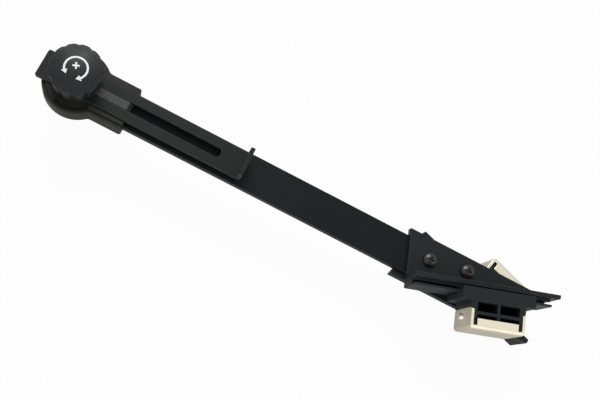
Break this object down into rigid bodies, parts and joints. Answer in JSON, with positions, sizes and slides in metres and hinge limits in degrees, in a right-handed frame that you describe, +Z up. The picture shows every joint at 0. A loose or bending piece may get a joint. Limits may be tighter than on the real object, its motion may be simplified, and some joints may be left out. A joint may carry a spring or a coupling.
{
  "type": "bicycle wheel truing stand",
  "caption": "Clip-in bicycle wheel truing stand: a flat bar with sliding jaws in a wedge head for the fork blades, and a clamped sliding gauge plate for the rim.",
  "frame": {"origin": "on the clamp knob's axis, in the flat underside of the end housing", "axes": "+X along the bar from the knob to the wedge head, +Z up through the knob, +Y across the bar"},
  "size_m": [0.3759, 0.0639, 0.071],
  "materials": {
    "black_bar": "satin black enamel",
    "black_plate": "satin black enamel",
    "black_moulding": "fine moulded texture",
    "knob_moulding": "smooth satin moulding",
    "plated_sheet": "warm satin nickel plate",
    "zinc_steel": "bright zinc plate",
    "bright_screw": "bright nickel",
    "black_screw": "black oxide",
    "insert_brass": "turned"
  },
  "bodies": {
    "frame": {"bar": "black_bar", "housing_tub": "black_moulding", "slide_guide": "black_moulding", "housing_screws": "zinc_steel", "clamp_stud": "zinc_steel", "head_upper": "black_moulding", "head_lower": "black_moulding", "head_screws": "black_screw", "head_inserts": "insert_brass"},
    "gauge": {"gauge_plate": "black_plate"},
    "washers": {"pressure_washer": "zinc_steel", "spring_washer": "zinc_steel"},
    "knob": {"knob": "knob_moulding", "knob_insert": "insert_brass"},
    "upper_jaw": {"jaw_block_upper": "black_moulding", "jaw_pad_upper": "plated_sheet", "jaw_screws_upper": "bright_screw"},
    "lower_jaw": {"jaw_block_lower": "black_moulding", "jaw_pad_lower": "plated_sheet", "jaw_screws_lower": "bright_screw"}
  },
  "joints": [
    {"name": "gauge_slide", "type": "slide", "parent": "frame", "child": "gauge", "axis": [1, 0, 0], "range_m": [-0.0635, 0.01]},
    {"name": "knob_lift", "type": "slide", "parent": "frame", "child": "washers", "axis": [0, 0, 1], "range_m": [0, 0.002]},
    {"name": "knob_turn", "type": "hinge", "parent": "washers", "child": "knob", "pos_m": [0, 0, 0.02], "axis": [0, 0, 1], "range_deg": [0, 720]},
    {"name": "upper_jaw_slide", "type": "slide", "parent": "frame", "child": "upper_jaw", "axis": [0.9537, 0.3007, 0], "range_m": [-0.028, 0.0125]},
    {"name": "lower_jaw_slide", "type": "slide", "parent": "frame", "child": "lower_jaw", "axis": [0.9537, -0.3007, 0], "range_m": [-0.041, 0]}
  ],
  "couplings": [
    {"joint": "knob_turn", "follows": "knob_lift", "rad_per_m": 6283.2}
  ]
}
